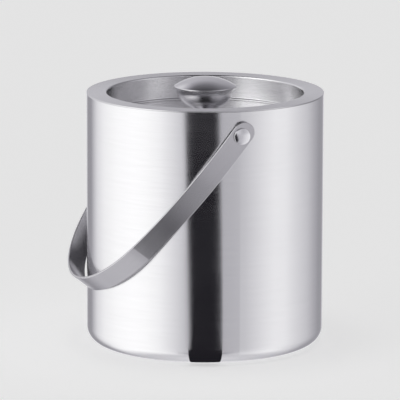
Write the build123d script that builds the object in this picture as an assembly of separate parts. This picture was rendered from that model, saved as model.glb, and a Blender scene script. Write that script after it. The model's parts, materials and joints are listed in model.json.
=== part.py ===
"""Double-walled stainless ice bucket with a drop-in lid and a flat swing handle.

Millimetres, +Z up. The origin is the centre of the underside, on the surface that
the bucket stands on. The handle pivots lie on the X axis, and the handle hangs
towards -Y.
"""

from build123d import *
from math import acos, asin, atan2, cos, degrees, hypot, radians, sin, sqrt
import os

# Body
sheet = 0.7
body_radius = 75.0
shell_bottom = 0.8
shell_height = 160.5
bottom_corner = 10.0
rim_top = shell_bottom + shell_height
seam_z = rim_top - 0.6
seam_depth = 0.25
pad_radius = 62.0
pad_recess = 1.0
pad_room = 0.4
recess_step = 0.6
small_round = 0.4

# Liner
rim_width = 12.7
mouth_radius = body_radius - rim_width
mouth_round = 1.0
upper_ledge_z = rim_top - 14.7
upper_ledge_radius = mouth_radius - 1.4
ledge_round = 0.8
ledge_edge_round = 0.7
rim_edge_round = 0.2
seam_lap = 0.1
shelf_z = upper_ledge_z - 3.0
cavity_radius = 57.8
cavity_floor = 14.8
cavity_corner = 8.0
lip_depth = 3.5

# Insulation
foam_gap = 0.3
jacket_top = 136.0
base_foam_radius = 66.0

# Handle
pivot_z = rim_top - 15.5
strap_width = 13.5
strap_thickness = 1.6
strap_inner_span = 76.2
strap_reach = 131.3
strap_straight = 8.0
shoulder_radius = 200.0
strap_end = 9.3
strap_edge_round = 0.45
wall_gap = 0.3

# Pivots
shoulder_pin_radius = 3.0
running_clearance = 0.05
wall_hole_room = 0.1
strap_play = 0.15
overlap = 0.2
thread_radius = 2.5
head_radius = 5.15
head_edge = 0.9
head_height = 1.7
head_round = 0.35
washer_radius = 6.4
washer_thickness = 0.8
washer_room = 0.05
plate_size = 16.0
plate_thickness = 1.5
plate_corner = 2.0
plate_face_x = 73.8
nut_flats = 8.0
nut_height = 4.0
thread_end_x = 67.6

# Lid
lid_top = upper_ledge_z - 0.75
lid_radius = 59.9
lid_round = 0.7
lid_skirt = 1.2
lid_seat_gap = 0.2
plug_radius = 56.8
plug_bottom = lid_top - 12.3
plug_corner = 3.0
gasket_inner = 57.0
gasket_room = 0.1
gasket_round = 0.3
screw_pocket_radius = 9.0

# Knob
cap_radius = 19.6
cap_lip_bottom = rim_top + 2.75
cap_lip = 1.0
cap_lip_bulge = 0.4
cap_inner_rise = 0.6
cap_apex = rim_top + 9.4
cap_skirt_radius = 17.3
cap_skirt_depth = 2.2
knob_wall = 0.9
groove_height = 0.45
bowl_radius = 18.5
bowl_depth = 14.2
bowl_mouth_z = cap_lip_bottom - groove_height
bowl_base_radius = 9.0
bowl_bottom = bowl_mouth_z - bowl_depth * sqrt(1 - (bowl_base_radius / bowl_radius) ** 2)
neck_waist = 6.8
neck_foot_radius = 10.5
neck_foot = 1.2
neck_collar = 1.0
neck_slope = 0.8
neck_round = 0.8
neck_foot_round = 0.5
neck_collar_round = 0.3
insert_radius = 5.0
insert_top = rim_top + 0.4
screw_radius = 2.5
screw_clearance = 0.3
screw_head_radius = 4.5
screw_head = 3.0
screw_head_round = 0.6
screw_end_room = 0.6
screw_washer_radius = 7.5
screw_washer = 1.0

both_sides = (("left", -1), ("right", 1))


def turned(corners):
    """A body of revolution about Z from (radius, z, corner round) triples."""
    points = [(r, 0, z) for r, z, rounding in corners]
    rounds = [rounding for r, z, rounding in corners]
    outline = FilletPolyline(*points, radius=rounds, close=True)
    return revolve(make_face(outline), Axis.Z)


def disc(radius, bottom, top, hole=0.0):
    """A plain disc or ring about Z between two heights."""
    middle = Pos(0, 0, (bottom + top) / 2)
    body = middle * Cylinder(radius, top - bottom)
    if hole > 0:
        body -= middle * Cylinder(hole, top - bottom)
    return body


def bar_x(radius, start, end, side):
    """A round bar along the pivot axis, from x = start to x = end on one side."""
    middle = side * (start + end) / 2
    return Pos(middle, 0, pivot_z) * Rot(0, 90, 0) * Cylinder(radius, end - start)


def make_outer_shell():
    """The drawn outer cup: side wall, round bottom corner and a recess for the pad."""
    inner = body_radius - sheet
    recess_top = shell_bottom + pad_recess
    recess_radius = pad_radius + pad_room
    recess_mouth = recess_radius + recess_step
    shell = turned([
        (0, recess_top, 0),
        (recess_radius, recess_top, small_round),
        (recess_mouth, shell_bottom, small_round),
        (body_radius, shell_bottom, bottom_corner),
        (body_radius, seam_z - seam_depth, 0),
        (body_radius - seam_depth, seam_z, 0),
        (inner, seam_z, 0),
        (inner, shell_bottom + sheet, bottom_corner - sheet),
        (recess_mouth + recess_step, shell_bottom + sheet, small_round),
        (recess_radius + recess_step, recess_top + sheet, small_round),
        (0, recess_top + sheet, 0),
    ])
    for name, side in both_sides:
        shell -= bar_x(shoulder_pin_radius + wall_hole_room, inner - 3, body_radius + 3, side)
    return shell


def make_rim_ring():
    """The pressed ring at the top: flat rim, upright collar and the ledge round the lid."""
    lip_outer = body_radius - sheet - seam_lap
    underside = rim_top - sheet - seam_lap
    return turned([
        (upper_ledge_radius, shelf_z, 0),
        (upper_ledge_radius, upper_ledge_z, ledge_edge_round),
        (mouth_radius, upper_ledge_z, ledge_round),
        (mouth_radius, rim_top, mouth_round),
        (body_radius, rim_top, rim_edge_round),
        (body_radius, seam_z + seam_depth, 0),
        (body_radius - seam_depth, seam_z, 0),
        (lip_outer, seam_z, 0),
        (lip_outer, seam_z - lip_depth, 0),
        (lip_outer - sheet, seam_z - lip_depth, 0),
        (lip_outer - sheet, underside, small_round),
        (mouth_radius + sheet, underside, small_round),
        (mouth_radius + sheet, upper_ledge_z - sheet, small_round),
        (upper_ledge_radius + sheet, upper_ledge_z - sheet, rim_edge_round),
        (upper_ledge_radius + sheet, shelf_z, 0),
    ])


def make_lid_seat():
    """The flat ring welded round the liner's mouth, which the lid's gasket rests on."""
    return disc(upper_ledge_radius + sheet, shelf_z - sheet, shelf_z, cavity_radius)


def make_inner_liner():
    """The drawn inner cup that holds the ice, open up to the lid seat."""
    top = shelf_z - sheet
    return turned([
        (0, cavity_floor, 0),
        (cavity_radius, cavity_floor, cavity_corner),
        (cavity_radius, top, 0),
        (cavity_radius + sheet, top, 0),
        (cavity_radius + sheet, cavity_floor - sheet, cavity_corner + sheet),
        (0, cavity_floor - sheet, 0),
    ])


def make_insulation_jacket():
    """The foam sleeve between the two walls, stopping below the pivots."""
    inner = cavity_radius + sheet + foam_gap
    outer = body_radius - sheet - foam_gap
    bottom = cavity_floor - sheet
    return disc(outer, bottom, jacket_top, inner)


def make_insulation_base():
    """The foam disc under the liner's floor."""
    bottom = shell_bottom + pad_recess + sheet + foam_gap
    top = cavity_floor - sheet - foam_gap
    return disc(base_foam_radius, bottom, top)


def make_foot_pad():
    """The non-slip pad that the bucket stands on."""
    top = shell_bottom + pad_recess
    return turned([
        (0, 0, 0),
        (pad_radius, 0, 0.4),
        (pad_radius, top, 0),
        (0, top, 0),
    ])


def make_stud(side):
    """A shouldered pivot stud with a shallow domed head."""
    under_head = strap_inner_span + strap_thickness + strap_play
    shoulder = bar_x(shoulder_pin_radius, plate_face_x, under_head + overlap, side)
    thread = bar_x(thread_radius, thread_end_x, plate_face_x + overlap, side)
    outline = [
        Line((0, 0, 0), (head_radius, 0, 0)),
        Line((head_radius, 0, 0), (head_radius, 0, head_edge)),
        dome_arc(head_radius, head_edge, head_height),
        Line((0, 0, head_height), (0, 0, 0)),
    ]
    head = revolve(make_face(outline), Axis.Z)
    circles = head.edges().filter_by(GeomType.CIRCLE)
    rims = [circle for circle in circles if circle.center().Z > head_edge / 2]
    head = fillet(rims, head_round)
    head = Pos(side * under_head, 0, pivot_z) * Rot(0, 90 * side, 0) * head
    return shoulder + thread + head


def make_pivot_washer(side):
    """The thin washer that keeps the strap off the shell."""
    start = body_radius + washer_room
    washer = bar_x(washer_radius, start, start + washer_thickness, side)
    return washer - bar_x(shoulder_pin_radius + running_clearance, start - 1, start + 2, side)


def make_backing_plate(side):
    """The plate inside the wall that spreads the handle's load."""
    middle = side * (plate_face_x - plate_thickness / 2)
    plate = Pos(middle, 0, pivot_z) * Box(plate_thickness, plate_size, plate_size)
    plate = fillet(plate.edges().filter_by(Axis.X), plate_corner)
    return plate - bar_x(thread_radius + running_clearance, plate_face_x - 3, plate_face_x + 1, side)


def make_pivot_nut(side):
    """The hexagon nut behind the backing plate."""
    hexagon = RegularPolygon(nut_flats / 2, 6, major_radius=False)
    nut = extrude(hexagon, nut_height / 2, both=True)
    middle = side * (plate_face_x - plate_thickness - nut_height / 2)
    nut = Pos(middle, 0, pivot_z) * Rot(0, 90, 0) * nut
    return nut - bar_x(thread_radius + running_clearance, thread_end_x - 1, plate_face_x, side)


def bail_outline(span, reach, straight, shoulder, end):
    """One edge of the handle's arch, as straight arms, two shoulder arcs and a crown arc."""
    rise = reach - shoulder
    offset = span - shoulder
    crown_z = (rise ** 2 - offset ** 2 - straight ** 2) / (2 * (rise - straight))
    crown = reach - crown_z
    turn = degrees(atan2(crown_z - straight, -offset))
    right_arm = Line((span, 0, -end), (span, 0, straight))
    right_arc = arc_xz(offset, straight, shoulder, 0, turn)
    top_arc = arc_xz(0, crown_z, crown, turn, 180 - turn)
    left_arc = arc_xz(-offset, straight, shoulder, 180 - turn, 180)
    left_arm = Line((-span, 0, straight), (-span, 0, -end))
    return [right_arm, right_arc, top_arc, left_arc, left_arm]


def arc_xz(centre_x, centre_z, radius, start, end):
    """An arc in the XZ plane, its angles in degrees from +X towards +Z."""
    angles = [radians(a) for a in (start, (start + end) / 2, end)]
    points = [(centre_x + radius * cos(a), 0, centre_z + radius * sin(a)) for a in angles]
    return ThreePointArc(*points)


def rest_angle():
    """How far below the horizontal the hanging handle lies when it meets the wall."""
    inner_reach = strap_reach - strap_thickness
    half_width = strap_width / 2
    steepest = acos((body_radius + wall_gap) / hypot(inner_reach, half_width))
    return degrees(steepest - atan2(half_width, inner_reach))


def make_handle_strap():
    """The bent strap, drawn upright and then swung down against the wall."""
    outer = bail_outline(
        strap_inner_span + strap_thickness, strap_reach, strap_straight, shoulder_radius, strap_end)
    inner = bail_outline(
        strap_inner_span, strap_reach - strap_thickness, strap_straight,
        shoulder_radius - strap_thickness, strap_end)
    tips = [Line(outer[0] @ 0, inner[0] @ 0), Line(outer[-1] @ 1, inner[-1] @ 1)]
    strap = extrude(make_face(outer + inner + tips), strap_width / 2, both=True)
    half_width = strap_width / 2
    tip_centre = half_width - strap_end
    long_box = Pos(0, 0, tip_centre) * Box(
        200, strap_width + 2, strap_reach + 20, align=(Align.CENTER, Align.CENTER, Align.MIN))
    round_tip = Pos(0, 0, tip_centre) * Rot(0, 90, 0) * Cylinder(half_width, 200)
    strap = strap & (long_box + round_tip)
    strap -= Rot(0, 90, 0) * Cylinder(shoulder_pin_radius + running_clearance, 200)
    side_edges = [e for e in strap.edges() if abs(abs(e.center().Y) - half_width) < 0.01]
    long_edges = [e for e in side_edges if e.length > 2 * strap_thickness]
    strap = fillet(long_edges, strap_edge_round)
    return Pos(0, 0, pivot_z) * Rot(90 + rest_angle(), 0, 0) * strap


def make_lid_top_pan():
    """The flat brushed top of the lid, with a short turned-down edge."""
    pan = turned([
        (0, lid_top, 0),
        (lid_radius, lid_top, lid_round),
        (lid_radius, lid_top - sheet - lid_skirt, 0),
        (lid_radius - sheet, lid_top - sheet - lid_skirt, 0),
        (lid_radius - sheet, lid_top - sheet, 0),
        (0, lid_top - sheet, 0),
    ])
    return pan - disc(screw_radius + screw_clearance, lid_top - 2, lid_top + 1)


def make_lid_bottom_pan():
    """The plug that hangs into the mouth of the cavity."""
    top = lid_top - sheet
    return turned([
        (0, plug_bottom, 0),
        (plug_radius, plug_bottom, plug_corner),
        (plug_radius, top, 0),
        (plug_radius - sheet, top, 0),
        (plug_radius - sheet, plug_bottom + sheet, plug_corner - sheet),
        (0, plug_bottom + sheet, 0),
    ])


def make_lid_insulation():
    """The foam disc inside the lid, with a pocket for the screw."""
    outer = plug_radius - sheet - foam_gap
    bottom = plug_bottom + sheet + foam_gap
    top = lid_top - sheet - foam_gap
    pocket_floor = lid_top - sheet - screw_washer - screw_head - foam_gap
    return turned([
        (0, bottom, 0),
        (outer, bottom, plug_corner - sheet),
        (outer, top, 0),
        (screw_pocket_radius, top, 0),
        (screw_pocket_radius, pocket_floor, 0),
        (0, pocket_floor, 0),
    ])


def make_lid_gasket():
    """The soft ring that the lid rests on."""
    bottom = shelf_z + lid_seat_gap
    top = lid_top - sheet
    outer = lid_radius - sheet - gasket_room
    return turned([
        (gasket_inner, bottom, gasket_round),
        (outer, bottom, gasket_round),
        (outer, top, gasket_round),
        (gasket_inner, top, 0),
    ])


def dome_arc(radius, edge_z, apex_z):
    """The quarter profile of a shallow dome, from its edge to its apex."""
    rise = apex_z - edge_z
    sphere = (radius ** 2 + rise ** 2) / (2 * rise)
    half = atan2(radius, sphere - rise) / 2
    middle = (sphere * sin(half), 0, apex_z - sphere * (1 - cos(half)))
    return ThreePointArc((radius, 0, edge_z), middle, (0, 0, apex_z))


def make_knob_cap():
    """The knob's domed top, with a thin lip and a skirt that fits the bowl."""
    lip_top = cap_lip_bottom + cap_lip
    skirt_bottom = cap_lip_bottom - cap_skirt_depth
    skirt_inner = cap_skirt_radius - knob_wall
    lip_edge = ThreePointArc(
        (cap_radius - cap_lip_bulge, 0, cap_lip_bottom),
        (cap_radius, 0, cap_lip_bottom + cap_lip / 2),
        (cap_radius - cap_lip_bulge, 0, lip_top))
    outer_dome = dome_arc(cap_radius - cap_lip_bulge, lip_top, cap_apex)
    inner_dome = dome_arc(skirt_inner, cap_lip_bottom + cap_inner_rise, cap_apex - knob_wall)
    outline = [
        lip_edge,
        outer_dome,
        Line((0, 0, cap_apex), (0, 0, cap_apex - knob_wall)),
        inner_dome,
        Line((skirt_inner, 0, cap_lip_bottom + cap_inner_rise), (skirt_inner, 0, skirt_bottom)),
        Line((skirt_inner, 0, skirt_bottom), (cap_skirt_radius, 0, skirt_bottom)),
        Line((cap_skirt_radius, 0, skirt_bottom), (cap_skirt_radius, 0, cap_lip_bottom)),
        Line((cap_skirt_radius, 0, cap_lip_bottom), (cap_radius - cap_lip_bulge, 0, cap_lip_bottom)),
    ]
    return revolve(make_face(outline), Axis.Z)


def bowl_arc(radius, depth, start_z):
    """The side of an elliptical bowl, from a height up to its mouth."""
    start = degrees(asin((bowl_mouth_z - start_z) / depth))
    arc = EllipticalCenterArc((0, bowl_mouth_z), radius, depth, -start, arc_size=start)
    return Plane.XZ.location * arc


def make_knob_bowl():
    """The knob's rounded underside."""
    floor = bowl_bottom + knob_wall
    outer = bowl_arc(bowl_radius, bowl_depth, bowl_bottom)
    inner = bowl_arc(bowl_radius - knob_wall, bowl_depth - knob_wall, floor)
    outline = [
        Line((0, 0, bowl_bottom), outer @ 0),
        outer,
        Line(outer @ 1, inner @ 1),
        inner,
        Line(inner @ 0, (0, 0, floor)),
        Line((0, 0, floor), (0, 0, bowl_bottom)),
    ]
    bowl = revolve(make_face(outline), Axis.Z)
    return bowl - disc(screw_radius + screw_clearance, bowl_bottom - 1, floor + 1)


def make_knob_neck():
    """The spool between the lid and the knob's bowl."""
    hole = screw_radius + screw_clearance
    return turned([
        (hole, lid_top, 0),
        (neck_foot_radius, lid_top, 0),
        (neck_foot_radius, lid_top + neck_foot, neck_foot_round),
        (neck_waist, lid_top + neck_foot + neck_slope, neck_round),
        (neck_waist, bowl_bottom - neck_collar - neck_slope, neck_round),
        (bowl_base_radius, bowl_bottom - neck_collar, neck_collar_round),
        (bowl_base_radius, bowl_bottom, 0),
        (hole, bowl_bottom, 0),
    ])


def make_knob_insert():
    """The threaded boss inside the bowl that takes the screw."""
    return disc(insert_radius, bowl_bottom + knob_wall, insert_top, screw_radius + running_clearance)


def make_knob_screw():
    """The screw up through the lid and the neck into the knob."""
    head_top = lid_top - sheet - screw_washer
    head = disc(screw_head_radius, head_top - screw_head, head_top)
    head = fillet(head.edges().group_by(Axis.Z)[0], screw_head_round)
    shank = disc(screw_radius, head_top, insert_top - screw_end_room)
    return head + shank


def make_knob_screw_washer():
    """The washer under the screw's head."""
    top = lid_top - sheet
    return disc(screw_washer_radius, top - screw_washer, top, screw_radius + screw_clearance)


def build_nodes():
    """Every node of the bucket by name."""
    nodes = {
        "outer_shell": make_outer_shell(),
        "rim_ring": make_rim_ring(),
        "lid_seat": make_lid_seat(),
        "inner_liner": make_inner_liner(),
        "insulation_jacket": make_insulation_jacket(),
        "insulation_base": make_insulation_base(),
        "foot_pad": make_foot_pad(),
        "handle_strap": make_handle_strap(),
        "lid_top_pan": make_lid_top_pan(),
        "lid_bottom_pan": make_lid_bottom_pan(),
        "lid_insulation": make_lid_insulation(),
        "lid_gasket": make_lid_gasket(),
        "knob_cap": make_knob_cap(),
        "knob_bowl": make_knob_bowl(),
        "knob_neck": make_knob_neck(),
        "knob_insert": make_knob_insert(),
        "knob_screw": make_knob_screw(),
        "knob_screw_washer": make_knob_screw_washer(),
    }
    for name, side in both_sides:
        nodes["pivot_stud_" + name] = make_stud(side)
        nodes["pivot_washer_" + name] = make_pivot_washer(side)
        nodes["pivot_backing_plate_" + name] = make_backing_plate(side)
        nodes["pivot_nut_" + name] = make_pivot_nut(side)
    return nodes


os.makedirs("parts", exist_ok=True)
for node, shape in build_nodes().items():
    export_step(shape, "parts/" + node + ".step")
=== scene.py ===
"""Looks of the ice bucket: brushed steel materials, studio, floor and camera. Metres, +Z up."""

import json
import math

import bpy
from mathutils import Matrix, Vector


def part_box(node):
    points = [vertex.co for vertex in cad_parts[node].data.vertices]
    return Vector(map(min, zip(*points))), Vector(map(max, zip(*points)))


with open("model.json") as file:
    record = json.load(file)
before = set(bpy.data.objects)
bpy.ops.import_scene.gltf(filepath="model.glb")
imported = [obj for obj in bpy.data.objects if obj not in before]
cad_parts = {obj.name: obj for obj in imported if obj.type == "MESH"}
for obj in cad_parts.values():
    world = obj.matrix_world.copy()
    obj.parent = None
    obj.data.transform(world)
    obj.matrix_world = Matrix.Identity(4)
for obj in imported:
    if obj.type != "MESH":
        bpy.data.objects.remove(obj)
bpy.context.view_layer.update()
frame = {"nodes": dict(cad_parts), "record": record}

nodes = frame["nodes"]
joints = {joint["name"]: joint for joint in frame["record"]["behaviour"]["joints"]}
scene = bpy.context.scene

# Camera: a long lens on the right-hand pivot's side, a little above the rim, aimed a little beside the
# middle of the bucket's height.
sensor_mm = 36.0
lens_mm = 395.73
camera_azimuth = math.radians(73.0)
camera_elevation = math.radians(11.29)
camera_distance = 2.794
camera_roll = math.radians(0.17)
aim_right = -0.0031
aim_up = 0.0100
shell_foot = 0.0008  # underside of the shell above the floor

# Studio walls: brightness by azimuth in degrees to the right of the camera, seen from the bucket,
# below the horizon and above it. The two blend over a few degrees of elevation.
low_panorama = (
    (-180, 1.10), (-170, 0.70), (-160, 0.33), (-146, 0.38), (-130, 0.89), (-115, 1.12), (-95, 1.25),
    (-75, 1.28), (-60, 1.23), (-45, 1.11), (-32, 0.94), (-24, 0.80), (-18, 0.70), (-9, 0.62), (0, 0.58),
    (14, 0.54), (30, 0.60), (45, 0.79), (60, 0.96), (72, 1.06), (85, 1.05), (100, 0.89), (118, 0.72),
    (132, 0.54), (146, 0.39), (160, 0.36), (170, 0.70), (180, 1.10),
)
high_panorama = (
    (-180, 0.55), (-163, 0.60), (-150, 0.95), (-135, 0.80), (-128, 0.72), (-112, 0.85), (-98, 1.15),
    (-86, 1.45), (-66, 1.85), (-47, 1.70), (-38, 1.15), (-30, 0.80), (-18, 0.80), (0, 0.80),
    (18, 0.70), (37, 0.52), (54, 0.66), (66, 0.78), (76, 0.78), (84, 0.66), (96, 0.46),
    (109, 0.28), (132, 0.20), (146, 0.24), (160, 0.43), (180, 0.55),
)
horizon_low, horizon_high = -4, 6

# By height, from straight down (0) to straight up (1): the share of the walls, and the brightness of
# the ground and the ceiling that take over from them.
wall_shares = ((0.16, 0.0), (0.30, 1.0), (0.70, 1.0), (0.82, 0.0))
end_levels = ((0.0, 0.66), (0.25, 0.46), (0.6, 0.28), (1.0, 0.14))

# The ground's own bands, from behind the bucket (0) to the camera's side (1), and the elevations in
# degrees between which they fade out.
ground_bands = ((0.0, 1.35), (0.81, 1.35), (0.86, 0.0), (0.89, 0.10), (0.94, 1.0), (1.0, 1.0))
ground_full, ground_gone = -46, -34

# The ceiling's dark slot towards the camera: half its width, its soft edge, how dark it is, the
# elevations in degrees over which it starts and how far back it fades out.
slot_half_width = 0.32
slot_edge = 0.07
slot_darkness = 0.93
slot_low, slot_high = 22, 34
slot_back, slot_front = -0.50, -0.10

# Dim parts of the studio are a little cooler than bright ones.
cool_tint = (0.984, 0.966, 1.050, 1.0)
cool_level, neutral_level = 0.3, 1.2

# The plain light that matt surfaces get, and the plain backdrop that the camera sees.
white = (1.0, 1.0, 1.0, 1.0)
soft_level = 0.10
backdrop_level = 0.78

# Dark cards: the flag's outline is (right, up) at its distance from the bucket's axis, and the foot
# shade card's is (right, towards the camera), just above the floor. The foot shade card is painted
# shade: it stands in for the floor's shadow just in front of the base, as the steel's bottom corner
# reflects it.
card_colour = (0.015, 0.014, 0.018, 1.0)
flag_distance = 0.70
flag_outline = (
    (-0.298, 0.24), (0.088, 0.24), (0.2175, -0.13), (0.130, -0.37), (0.050, -0.72), (-0.100, -0.72),
    (-0.150, -0.18))
foot_shade_card = ((-0.0085, 0.066), (0.0095, 0.066), (0.022, 0.110), (-0.020, 0.110))
foot_shade_card_lift = 0.0002

# Floor and the light over it.
floor_size = 60.0
floor_colour = (0.80, 0.80, 0.80)
floor_glow = 0.622
sun_strength = 0.60
sun_width = math.radians(40)

# Metal surfaces: the middle range of the noises, the fine share of the streaks, how far these change
# the roughness, the smudges' scale and their part in the roughness, and the relief's depth.
noise_low, noise_high = 0.3, 0.7
fine_share = 0.6
gloss_spread = 0.12
smudge_scale = 28.0
smudge_low, smudge_high = 0.35, 0.65
smudge_gloss = 0.012
relief_depth = 0.00005


class Nodes:
    """A node tree with short calls: each makes a node, links its inputs and returns an output."""

    def __init__(self, tree):
        self.tree = tree
        tree.nodes.clear()

    def make(self, kind, inputs=(), output=0, **settings):
        """A node of any kind: inputs are sockets or constants, settings are the node's own."""
        node = self.tree.nodes.new(kind)
        for name, value in settings.items():
            setattr(node, name, value)
        for key, value in dict(inputs).items():
            if isinstance(value, bpy.types.NodeSocket):
                self.tree.links.new(value, node.inputs[key])
            else:
                node.inputs[key].default_value = value
        return node.outputs[output] if len(node.outputs) else node

    def math(self, operation, a, b=0.0):
        return self.make("ShaderNodeMath", {0: a, 1: b}, operation=operation)

    def fit(self, value, low, high, to_low=0.0, to_high=1.0):
        """A value's range from low to high stretched to another range, and held at its ends."""
        return self.make("ShaderNodeMapRange", {
            "Value": value, "From Min": low, "From Max": high, "To Min": to_low, "To Max": to_high})

    def ramp(self, value, stops):
        """A grey ramp: stops are (position, brightness)."""
        node = self.tree.nodes.new("ShaderNodeValToRGB")
        self.tree.links.new(value, node.inputs[0])
        points = node.color_ramp.elements
        while len(points) < len(stops):
            points.new(1.0)
        for point, (position, level) in zip(points, stops):
            point.position = position
            point.color = (level, level, level, 1.0)
        return node.outputs[0]

    def split(self, vector):
        node = self.tree.nodes.new("ShaderNodeSeparateXYZ")
        self.tree.links.new(vector, node.inputs[0])
        return node.outputs

    def join(self, x, y, z):
        return self.make("ShaderNodeCombineXYZ", {0: x, 1: y, 2: z})

    def along(self, vector, direction):
        """The component of a vector along a fixed direction."""
        return self.make("ShaderNodeVectorMath", {0: vector, 1: tuple(direction)}, 1,
                         operation="DOT_PRODUCT")

    def noise(self, vector, scale, detail):
        return self.make("ShaderNodeTexNoise", {"Vector": vector, "Scale": scale, "Detail": detail})

    def tint(self, colour, level):
        """A fixed colour made lighter or darker by a level near 1."""
        return self.make("ShaderNodeMix", {0: 1.0, 6: (*colour, 1.0), 7: level}, output=2,
                         data_type="RGBA", blend_type="MULTIPLY")

    def blend(self, share, first, second):
        """From the first value to the second as the share goes from 0 to 1."""
        return self.make("ShaderNodeMix", {0: share, 2: first, 3: second}, output=0, data_type="FLOAT")


def camera_axes():
    """Unit vectors from the bucket to the camera, to the picture's right and up."""
    back = Vector((
        math.sin(camera_azimuth) * math.cos(camera_elevation),
        -math.cos(camera_azimuth) * math.cos(camera_elevation),
        math.sin(camera_elevation)))
    right = Vector((math.cos(camera_azimuth), math.sin(camera_azimuth), 0.0))
    return back, right, back.cross(right)


def make_camera():
    """The camera, aimed so that the bucket stands a little below the middle."""
    rim_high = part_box("rim_ring")[1][2]
    middle = Vector((0.0, 0.0, (shell_foot + rim_high) / 2))
    back, right, up = camera_axes()
    data = bpy.data.cameras.new("camera")
    data.sensor_width = sensor_mm
    data.lens = lens_mm
    data.clip_start = 0.05
    data.clip_end = 100.0
    camera = bpy.data.objects.new("camera", data)
    scene.collection.objects.link(camera)
    camera.location = middle + back * camera_distance
    target = middle + right * aim_right + up * aim_up
    look = (target - camera.location).normalized()
    turn = look.to_track_quat("-Z", "Y").to_matrix()
    camera.rotation_euler = (turn @ Matrix.Rotation(camera_roll, 3, "Z")).to_euler()
    scene.camera = camera


def make_world():
    """The studio: walls, ground and slotted ceiling for reflections, and plain light for the rest."""
    world = bpy.data.worlds.new("studio")
    scene.world = world
    world.use_nodes = True
    n = Nodes(world.node_tree)
    direction = n.make("ShaderNodeTexCoord", output="Generated")
    z = n.split(direction)[2]
    facing = (math.sin(camera_azimuth), -math.cos(camera_azimuth), 0.0)
    across = (math.cos(camera_azimuth), math.sin(camera_azimuth), 0.0)
    ahead = n.along(direction, facing)
    aside = n.along(direction, across)
    turn = n.fit(n.math("ARCTAN2", aside, ahead), -math.pi, math.pi)
    low = n.ramp(turn, [((azimuth + 180) / 360, level) for azimuth, level in low_panorama])
    high = n.ramp(turn, [((azimuth + 180) / 360, level) for azimuth, level in high_panorama])
    elevation = n.math("ARCSINE", z)

    def rise(start, end):
        """From 0 to 1 between two elevations in degrees."""
        return n.fit(elevation, math.radians(start), math.radians(end))

    walls = n.blend(rise(horizon_low, horizon_high), low, high)
    overhead = n.math("MULTIPLY", rise(slot_low, slot_high), n.fit(ahead, slot_back, slot_front))
    narrow = n.fit(n.math("ABSOLUTE", aside), slot_half_width + slot_edge, slot_half_width - slot_edge,
                   0.0, slot_darkness)
    slot = n.math("MULTIPLY", overhead, narrow)
    height = n.fit(elevation, -math.pi / 2, math.pi / 2)
    ground = n.ramp(n.fit(ahead, -1.0, 1.0), ground_bands)
    shade = n.blend(rise(ground_full, ground_gone), ground, 1.0)
    level = n.math("MULTIPLY", n.blend(n.ramp(height, wall_shares), n.ramp(height, end_levels), walls),
                   n.math("MULTIPLY", shade, n.math("SUBTRACT", 1.0, slot)))
    cool = n.fit(level, cool_level, neutral_level, 1.0, 0.0)
    hue = n.make("ShaderNodeMix", {0: cool, 6: white, 7: cool_tint}, 2, data_type="RGBA")
    rays = n.tree.nodes.new("ShaderNodeLightPath").outputs
    studio = n.make("ShaderNodeBackground", {"Color": hue, "Strength": level})
    soft = n.make("ShaderNodeBackground", {"Color": white, "Strength": soft_level})
    plain = n.make("ShaderNodeBackground", {"Color": white, "Strength": backdrop_level})
    lit = n.make("ShaderNodeMixShader", {0: rays["Is Diffuse Ray"], 1: studio, 2: soft})
    seen = n.make("ShaderNodeMixShader", {0: rays["Is Camera Ray"], 1: lit, 2: plain})
    n.make("ShaderNodeOutputWorld", {"Surface": seen})


def make_card(name, corners):
    """A near-black card seen only in reflections."""
    mesh = bpy.data.meshes.new(name)
    mesh.from_pydata(corners, [], [tuple(range(len(corners)))])
    card = bpy.data.objects.new(name, mesh)
    scene.collection.objects.link(card)
    material = bpy.data.materials.new(name)
    material.use_nodes = True
    n = Nodes(material.node_tree)
    dark = n.make("ShaderNodeEmission", {"Color": card_colour, "Strength": 1.0})
    n.make("ShaderNodeOutputMaterial", {"Surface": dark})
    mesh.materials.append(material)
    card.visible_camera = False
    card.visible_diffuse = False
    card.visible_shadow = False
    card.visible_transmission = False


def make_flags():
    """The dark upright flag in front of the bucket, and a small dark card at its foot: painted
    shade, standing in for the floor's shadow next to the base as the steel reflects it.
    """
    back, right, _ = camera_axes()
    ahead = Vector((back.x, back.y, 0.0)).normalized()
    upright = Vector((0.0, 0.0, 1.0))
    make_card("flag", [ahead * flag_distance + right * slide + upright * z for slide, z in flag_outline])
    # Painted shade: this near-black card stands in for the floor's shadow just in front of the base.
    make_card("foot shade card", [ahead * reach + right * slide + upright * foot_shade_card_lift
                            for slide, reach in foot_shade_card])


def make_sun():
    """A soft light straight overhead, for the floor."""
    data = bpy.data.lights.new("overhead", "SUN")
    data.energy = sun_strength
    data.angle = sun_width
    sun = bpy.data.objects.new("overhead", data)
    scene.collection.objects.link(sun)
    sun.visible_glossy = False


def make_floor():
    """The plain pale floor, which glows a little and isn't seen in the steel."""
    bpy.ops.mesh.primitive_plane_add(size=floor_size, location=(0, 0, 0))
    floor = bpy.context.active_object
    floor.name = "floor"
    material = bpy.data.materials.new("floor")
    material.use_nodes = True
    n = Nodes(material.node_tree)
    surface = n.make("ShaderNodeBsdfDiffuse", {"Color": (*floor_colour, 1.0)})
    glow = n.make("ShaderNodeEmission", {"Color": (*floor_colour, 1.0), "Strength": floor_glow})
    n.make("ShaderNodeOutputMaterial", {"Surface": n.make("ShaderNodeAddShader", {0: surface, 1: glow})})
    floor.data.materials.append(material)
    floor.visible_glossy = False


def dress(names, material):
    """Gives the named CAD nodes a material in every slot."""
    for name in names:
        for slot in nodes[name].material_slots:
            slot.material = material


def new_material(name):
    material = bpy.data.materials.new(name)
    material.use_nodes = True
    return material, Nodes(material.node_tree)


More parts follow.
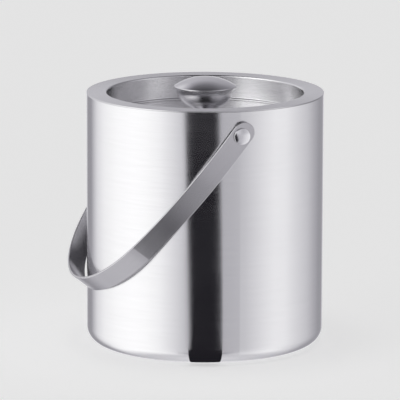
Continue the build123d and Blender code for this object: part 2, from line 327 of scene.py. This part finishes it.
def brushed(n, tone, roughness, anisotropy, fine, broad, point, tangent, streak, turn=0.0, wear=0.0):
    """The surface shared by the brushed metals: streaks in colour, gloss and height, and worn edges.

    Streak is how much the streaks change the tone, and turn is the anisotropy's own, in whole turns.
    """
    streaks = n.math("ADD", n.math("MULTIPLY", fine, fine_share), n.math("MULTIPLY", broad, 1 - fine_share))
    smudge = n.noise(point, smudge_scale, 3.0)
    shade = n.fit(streaks, noise_low, noise_high, 1 - streak, 1 + streak)
    gloss = n.fit(streaks, noise_low, noise_high, roughness * (1 - gloss_spread),
                  roughness * (1 + gloss_spread))
    rough = n.math("ADD", n.math("ADD", gloss, wear),
                   n.fit(smudge, smudge_low, smudge_high, -smudge_gloss, smudge_gloss))
    relief = n.make("ShaderNodeBump", {"Strength": 0.08, "Distance": relief_depth, "Height": fine})
    surface = n.make("ShaderNodeBsdfPrincipled", {
        "Base Color": n.tint(tone, shade), "Metallic": 1.0, "Roughness": rough,
        "Anisotropic": anisotropy, "Anisotropic Rotation": turn, "Normal": relief, "Tangent": tangent})
    n.make("ShaderNodeOutputMaterial", {"Surface": surface})


def turned_metal(name, tone, roughness, anisotropy=1.0, streak=0.05, axis="Z"):
    """Metal brushed or spun about Z or X: the streaks run round that axis of the frame.

    The gloss runs round the piece's own middle. The two differ only on the studs, which lie off their axis.
    """
    smallest_radius = 0.0005
    material, n = new_material(name)
    point = n.make("ShaderNodeTexCoord", output="Object")
    x, y, z = n.split(point)
    if axis == "X":
        x, y, z = y, z, x
    radius = n.math("SQRT", n.math("ADD", n.math("MULTIPLY", x, x), n.math("MULTIPLY", y, y)))
    safe = n.math("MAXIMUM", radius, smallest_radius)
    level = n.math("ADD", z, radius)

    def grain(length, width, detail):
        """Scratches of a length in radians and a width in metres."""
        vector = n.join(n.math("DIVIDE", n.math("DIVIDE", x, safe), length),
                        n.math("DIVIDE", n.math("DIVIDE", y, safe), length),
                        n.math("DIVIDE", level, width))
        return n.noise(vector, 1.0, detail)

    tangent = n.make("ShaderNodeTangent", direction_type="RADIAL", axis=axis)
    brushed(n, tone, roughness, anisotropy, grain(0.25, 0.00035, 3.0), grain(0.5, 0.0022, 2.0),
            point, tangent, streak, turn=0.25)
    return material


def strap_steel():
    """Steel brushed along the handle's strap, whose width points one way all along it.

    Its cut edges face along that width, and are rougher than its faces.
    """
    edge_start, edge_full = 0.75, 0.95
    edge_roughness = 0.30
    material, n = new_material("brushed strap")
    hang = math.radians((joints["handle_swing"]["range_deg"][1] - 180) / 2)
    width = (0.0, -math.sin(hang), math.cos(hang))
    reach = (0.0, -math.cos(hang), -math.sin(hang))
    point = n.make("ShaderNodeTexCoord", output="Object")
    across = n.along(point, width)
    x = n.split(point)[0]
    out = n.along(point, reach)

    def grain(length, fineness, detail):
        """Scratches of a length and a width in metres."""
        vector = n.join(n.math("DIVIDE", x, length), n.math("DIVIDE", out, length),
                        n.math("DIVIDE", across, fineness))
        return n.noise(vector, 1.0, detail)

    normal = n.make("ShaderNodeTexCoord", output="Normal")
    edge = n.fit(n.math("ABSOLUTE", n.along(normal, width)), edge_start, edge_full)
    spread = n.make("ShaderNodeMix", {0: edge, 4: width, 5: (1.0, 0.0, 0.0)}, 1, data_type="VECTOR")
    tangent = n.make("ShaderNodeVectorTransform", {0: spread}, vector_type="VECTOR",
                     convert_from="OBJECT", convert_to="WORLD")
    brushed(n, (0.58, 0.574, 0.593), 0.20, 0.9, grain(0.03, 0.00030, 3.0), grain(0.05, 0.0015, 2.0),
            point, tangent, 0.03, wear=n.math("MULTIPLY", edge, edge_roughness))
    return material


def plain_steel():
    """Bright rolled steel with a faint mottle, for the hidden hardware."""
    mottle_scale = 900.0
    material, n = new_material("plain steel")
    point = n.make("ShaderNodeTexCoord", output="Object")
    mottle = n.noise(point, mottle_scale, 4.0)
    shade = n.fit(mottle, noise_low, noise_high, 0.93, 1.07)
    rough = n.fit(mottle, noise_low, noise_high, 0.30, 0.42)
    relief = n.make("ShaderNodeBump", {"Strength": 0.1, "Distance": relief_depth, "Height": mottle})
    surface = n.make("ShaderNodeBsdfPrincipled", {
        "Base Color": n.tint((0.58, 0.58, 0.60), shade), "Metallic": 1.0, "Roughness": rough,
        "Normal": relief})
    n.make("ShaderNodeOutputMaterial", {"Surface": surface})
    return material


def soft_stuff(name, colour, roughness, grain, depth, variation, specular=0.4):
    """A dull moulded material: speckle in colour, gloss and height at one grain size in metres."""
    cell_share = 0.6
    cloud_scale = 60.0
    speckle_low, speckle_high = 0.2, 0.7
    gloss_change = 0.06
    material, n = new_material(name)
    point = n.make("ShaderNodeTexCoord", output="Object")
    cells = n.make("ShaderNodeTexVoronoi", {"Vector": point, "Scale": 1.0 / grain})
    cloud = n.noise(point, cloud_scale, 3.0)
    speckle = n.math("ADD", n.math("MULTIPLY", cells, cell_share),
                     n.math("MULTIPLY", cloud, 1 - cell_share))
    shade = n.fit(speckle, speckle_low, speckle_high, 1 + variation, 1 - variation)
    rough = n.fit(speckle, speckle_low, speckle_high, roughness - gloss_change, roughness + gloss_change)
    relief = n.make("ShaderNodeBump", {"Strength": 0.5, "Distance": depth, "Height": cells})
    surface = n.make("ShaderNodeBsdfPrincipled", {
        "Base Color": n.tint(colour, shade), "Roughness": rough, "Specular IOR Level": specular,
        "Normal": relief})
    n.make("ShaderNodeOutputMaterial", {"Surface": surface})
    return material


sheet_tone = (0.765, 0.762, 0.773)
steel = turned_metal("brushed steel", sheet_tone, 0.14, streak=0.022)
rim_steel = turned_metal("brushed rim steel", sheet_tone, 0.24, anisotropy=0.85, streak=0.03)
knob_steel = turned_metal("spun knob steel", (0.72, 0.714, 0.732), 0.15, anisotropy=0.5, streak=0.02)
stud_steel = turned_metal("turned stud steel", (0.80, 0.796, 0.812), 0.14, anisotropy=0.5, streak=0.02,
                          axis="X")
hardware = plain_steel()
brass = turned_metal("turned brass", (0.80, 0.60, 0.30), 0.28, anisotropy=0.7)
foam = soft_stuff("moulded foam", (0.84, 0.81, 0.70), 0.85, 0.0009, 0.0002, 0.06)
rubber = soft_stuff("black rubber", (0.022, 0.022, 0.023), 0.62, 0.0007, 0.00008, 0.12)
silicone = soft_stuff("grey silicone", (0.55, 0.56, 0.57), 0.38, 0.0012, 0.00003, 0.04, 0.5)
nylon = soft_stuff("grey nylon", (0.20, 0.20, 0.21), 0.45, 0.0005, 0.00003, 0.05, 0.5)

dress(["outer_shell", "lid_seat", "inner_liner", "lid_bottom_pan"], steel)
dress(["rim_ring", "lid_top_pan"], rim_steel)
dress(["knob_cap", "knob_bowl", "knob_neck"], knob_steel)
dress(["handle_strap"], strap_steel())
dress(["knob_insert"], brass)
dress(["knob_screw", "knob_screw_washer"], hardware)
dress(["insulation_jacket", "insulation_base", "lid_insulation"], foam)
dress(["foot_pad"], rubber)
dress(["lid_gasket"], silicone)
for side in ("left", "right"):
    dress(["pivot_stud_" + side], stud_steel)
    dress(["pivot_washer_" + side], nylon)
    dress(["pivot_backing_plate_" + side, "pivot_nut_" + side], hardware)

make_camera()
make_world()
make_flags()
make_sun()
make_floor()
scene.view_settings.view_transform = "Standard"
